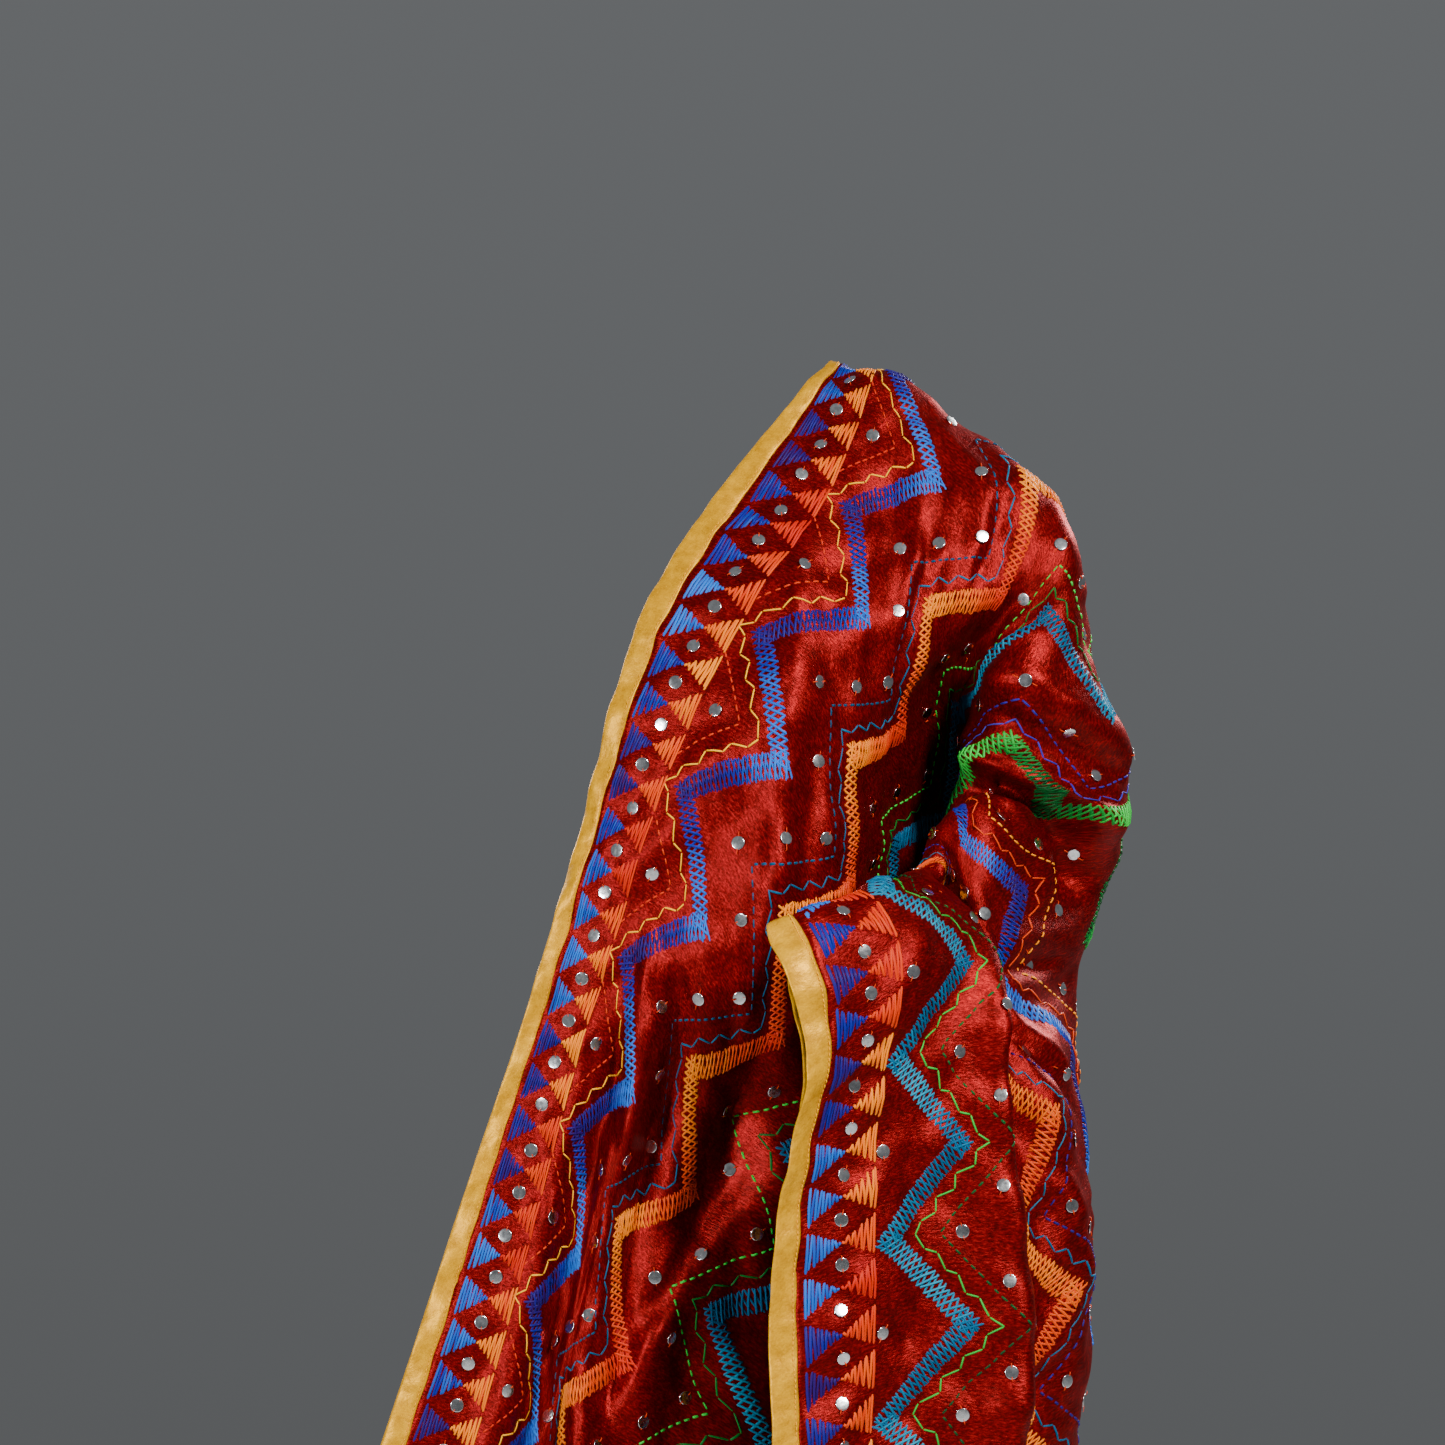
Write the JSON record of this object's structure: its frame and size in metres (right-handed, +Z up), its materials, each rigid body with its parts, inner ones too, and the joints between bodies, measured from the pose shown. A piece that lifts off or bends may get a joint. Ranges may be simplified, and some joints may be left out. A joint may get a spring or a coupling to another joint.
{
  "type": "embroidered dupatta",
  "caption": "Satin dupatta worn over one shoulder and the bent arm below it, open at the neck, arm and hems, with zigzag thread embroidery, round mirrors and a yellow bound edge.",
  "frame": {"origin": "in the cloth on the crest of the shoulder that carries it, where the shoulder holds it up", "axes": "+X towards the viewer's right seen from the front, +Y towards the wearer's back, +Z up"},
  "size_m": [0.5677, 0.3929, 1.4059],
  "materials": {
    "silk": "satin",
    "binding": "satin"
  },
  "bodies": {
    "root": {"front_fall": "silk", "inner_fall": "silk", "shoulder_stretch": "silk", "arm_stretch": "silk", "forearm_stretch": "silk", "back_fall": "silk", "wrist_fall": "silk", "binding_neck_edge": "binding", "binding_wrist_edge": "binding", "binding_front_end": "binding", "binding_back_end": "binding"}
  },
  "joints": []
}
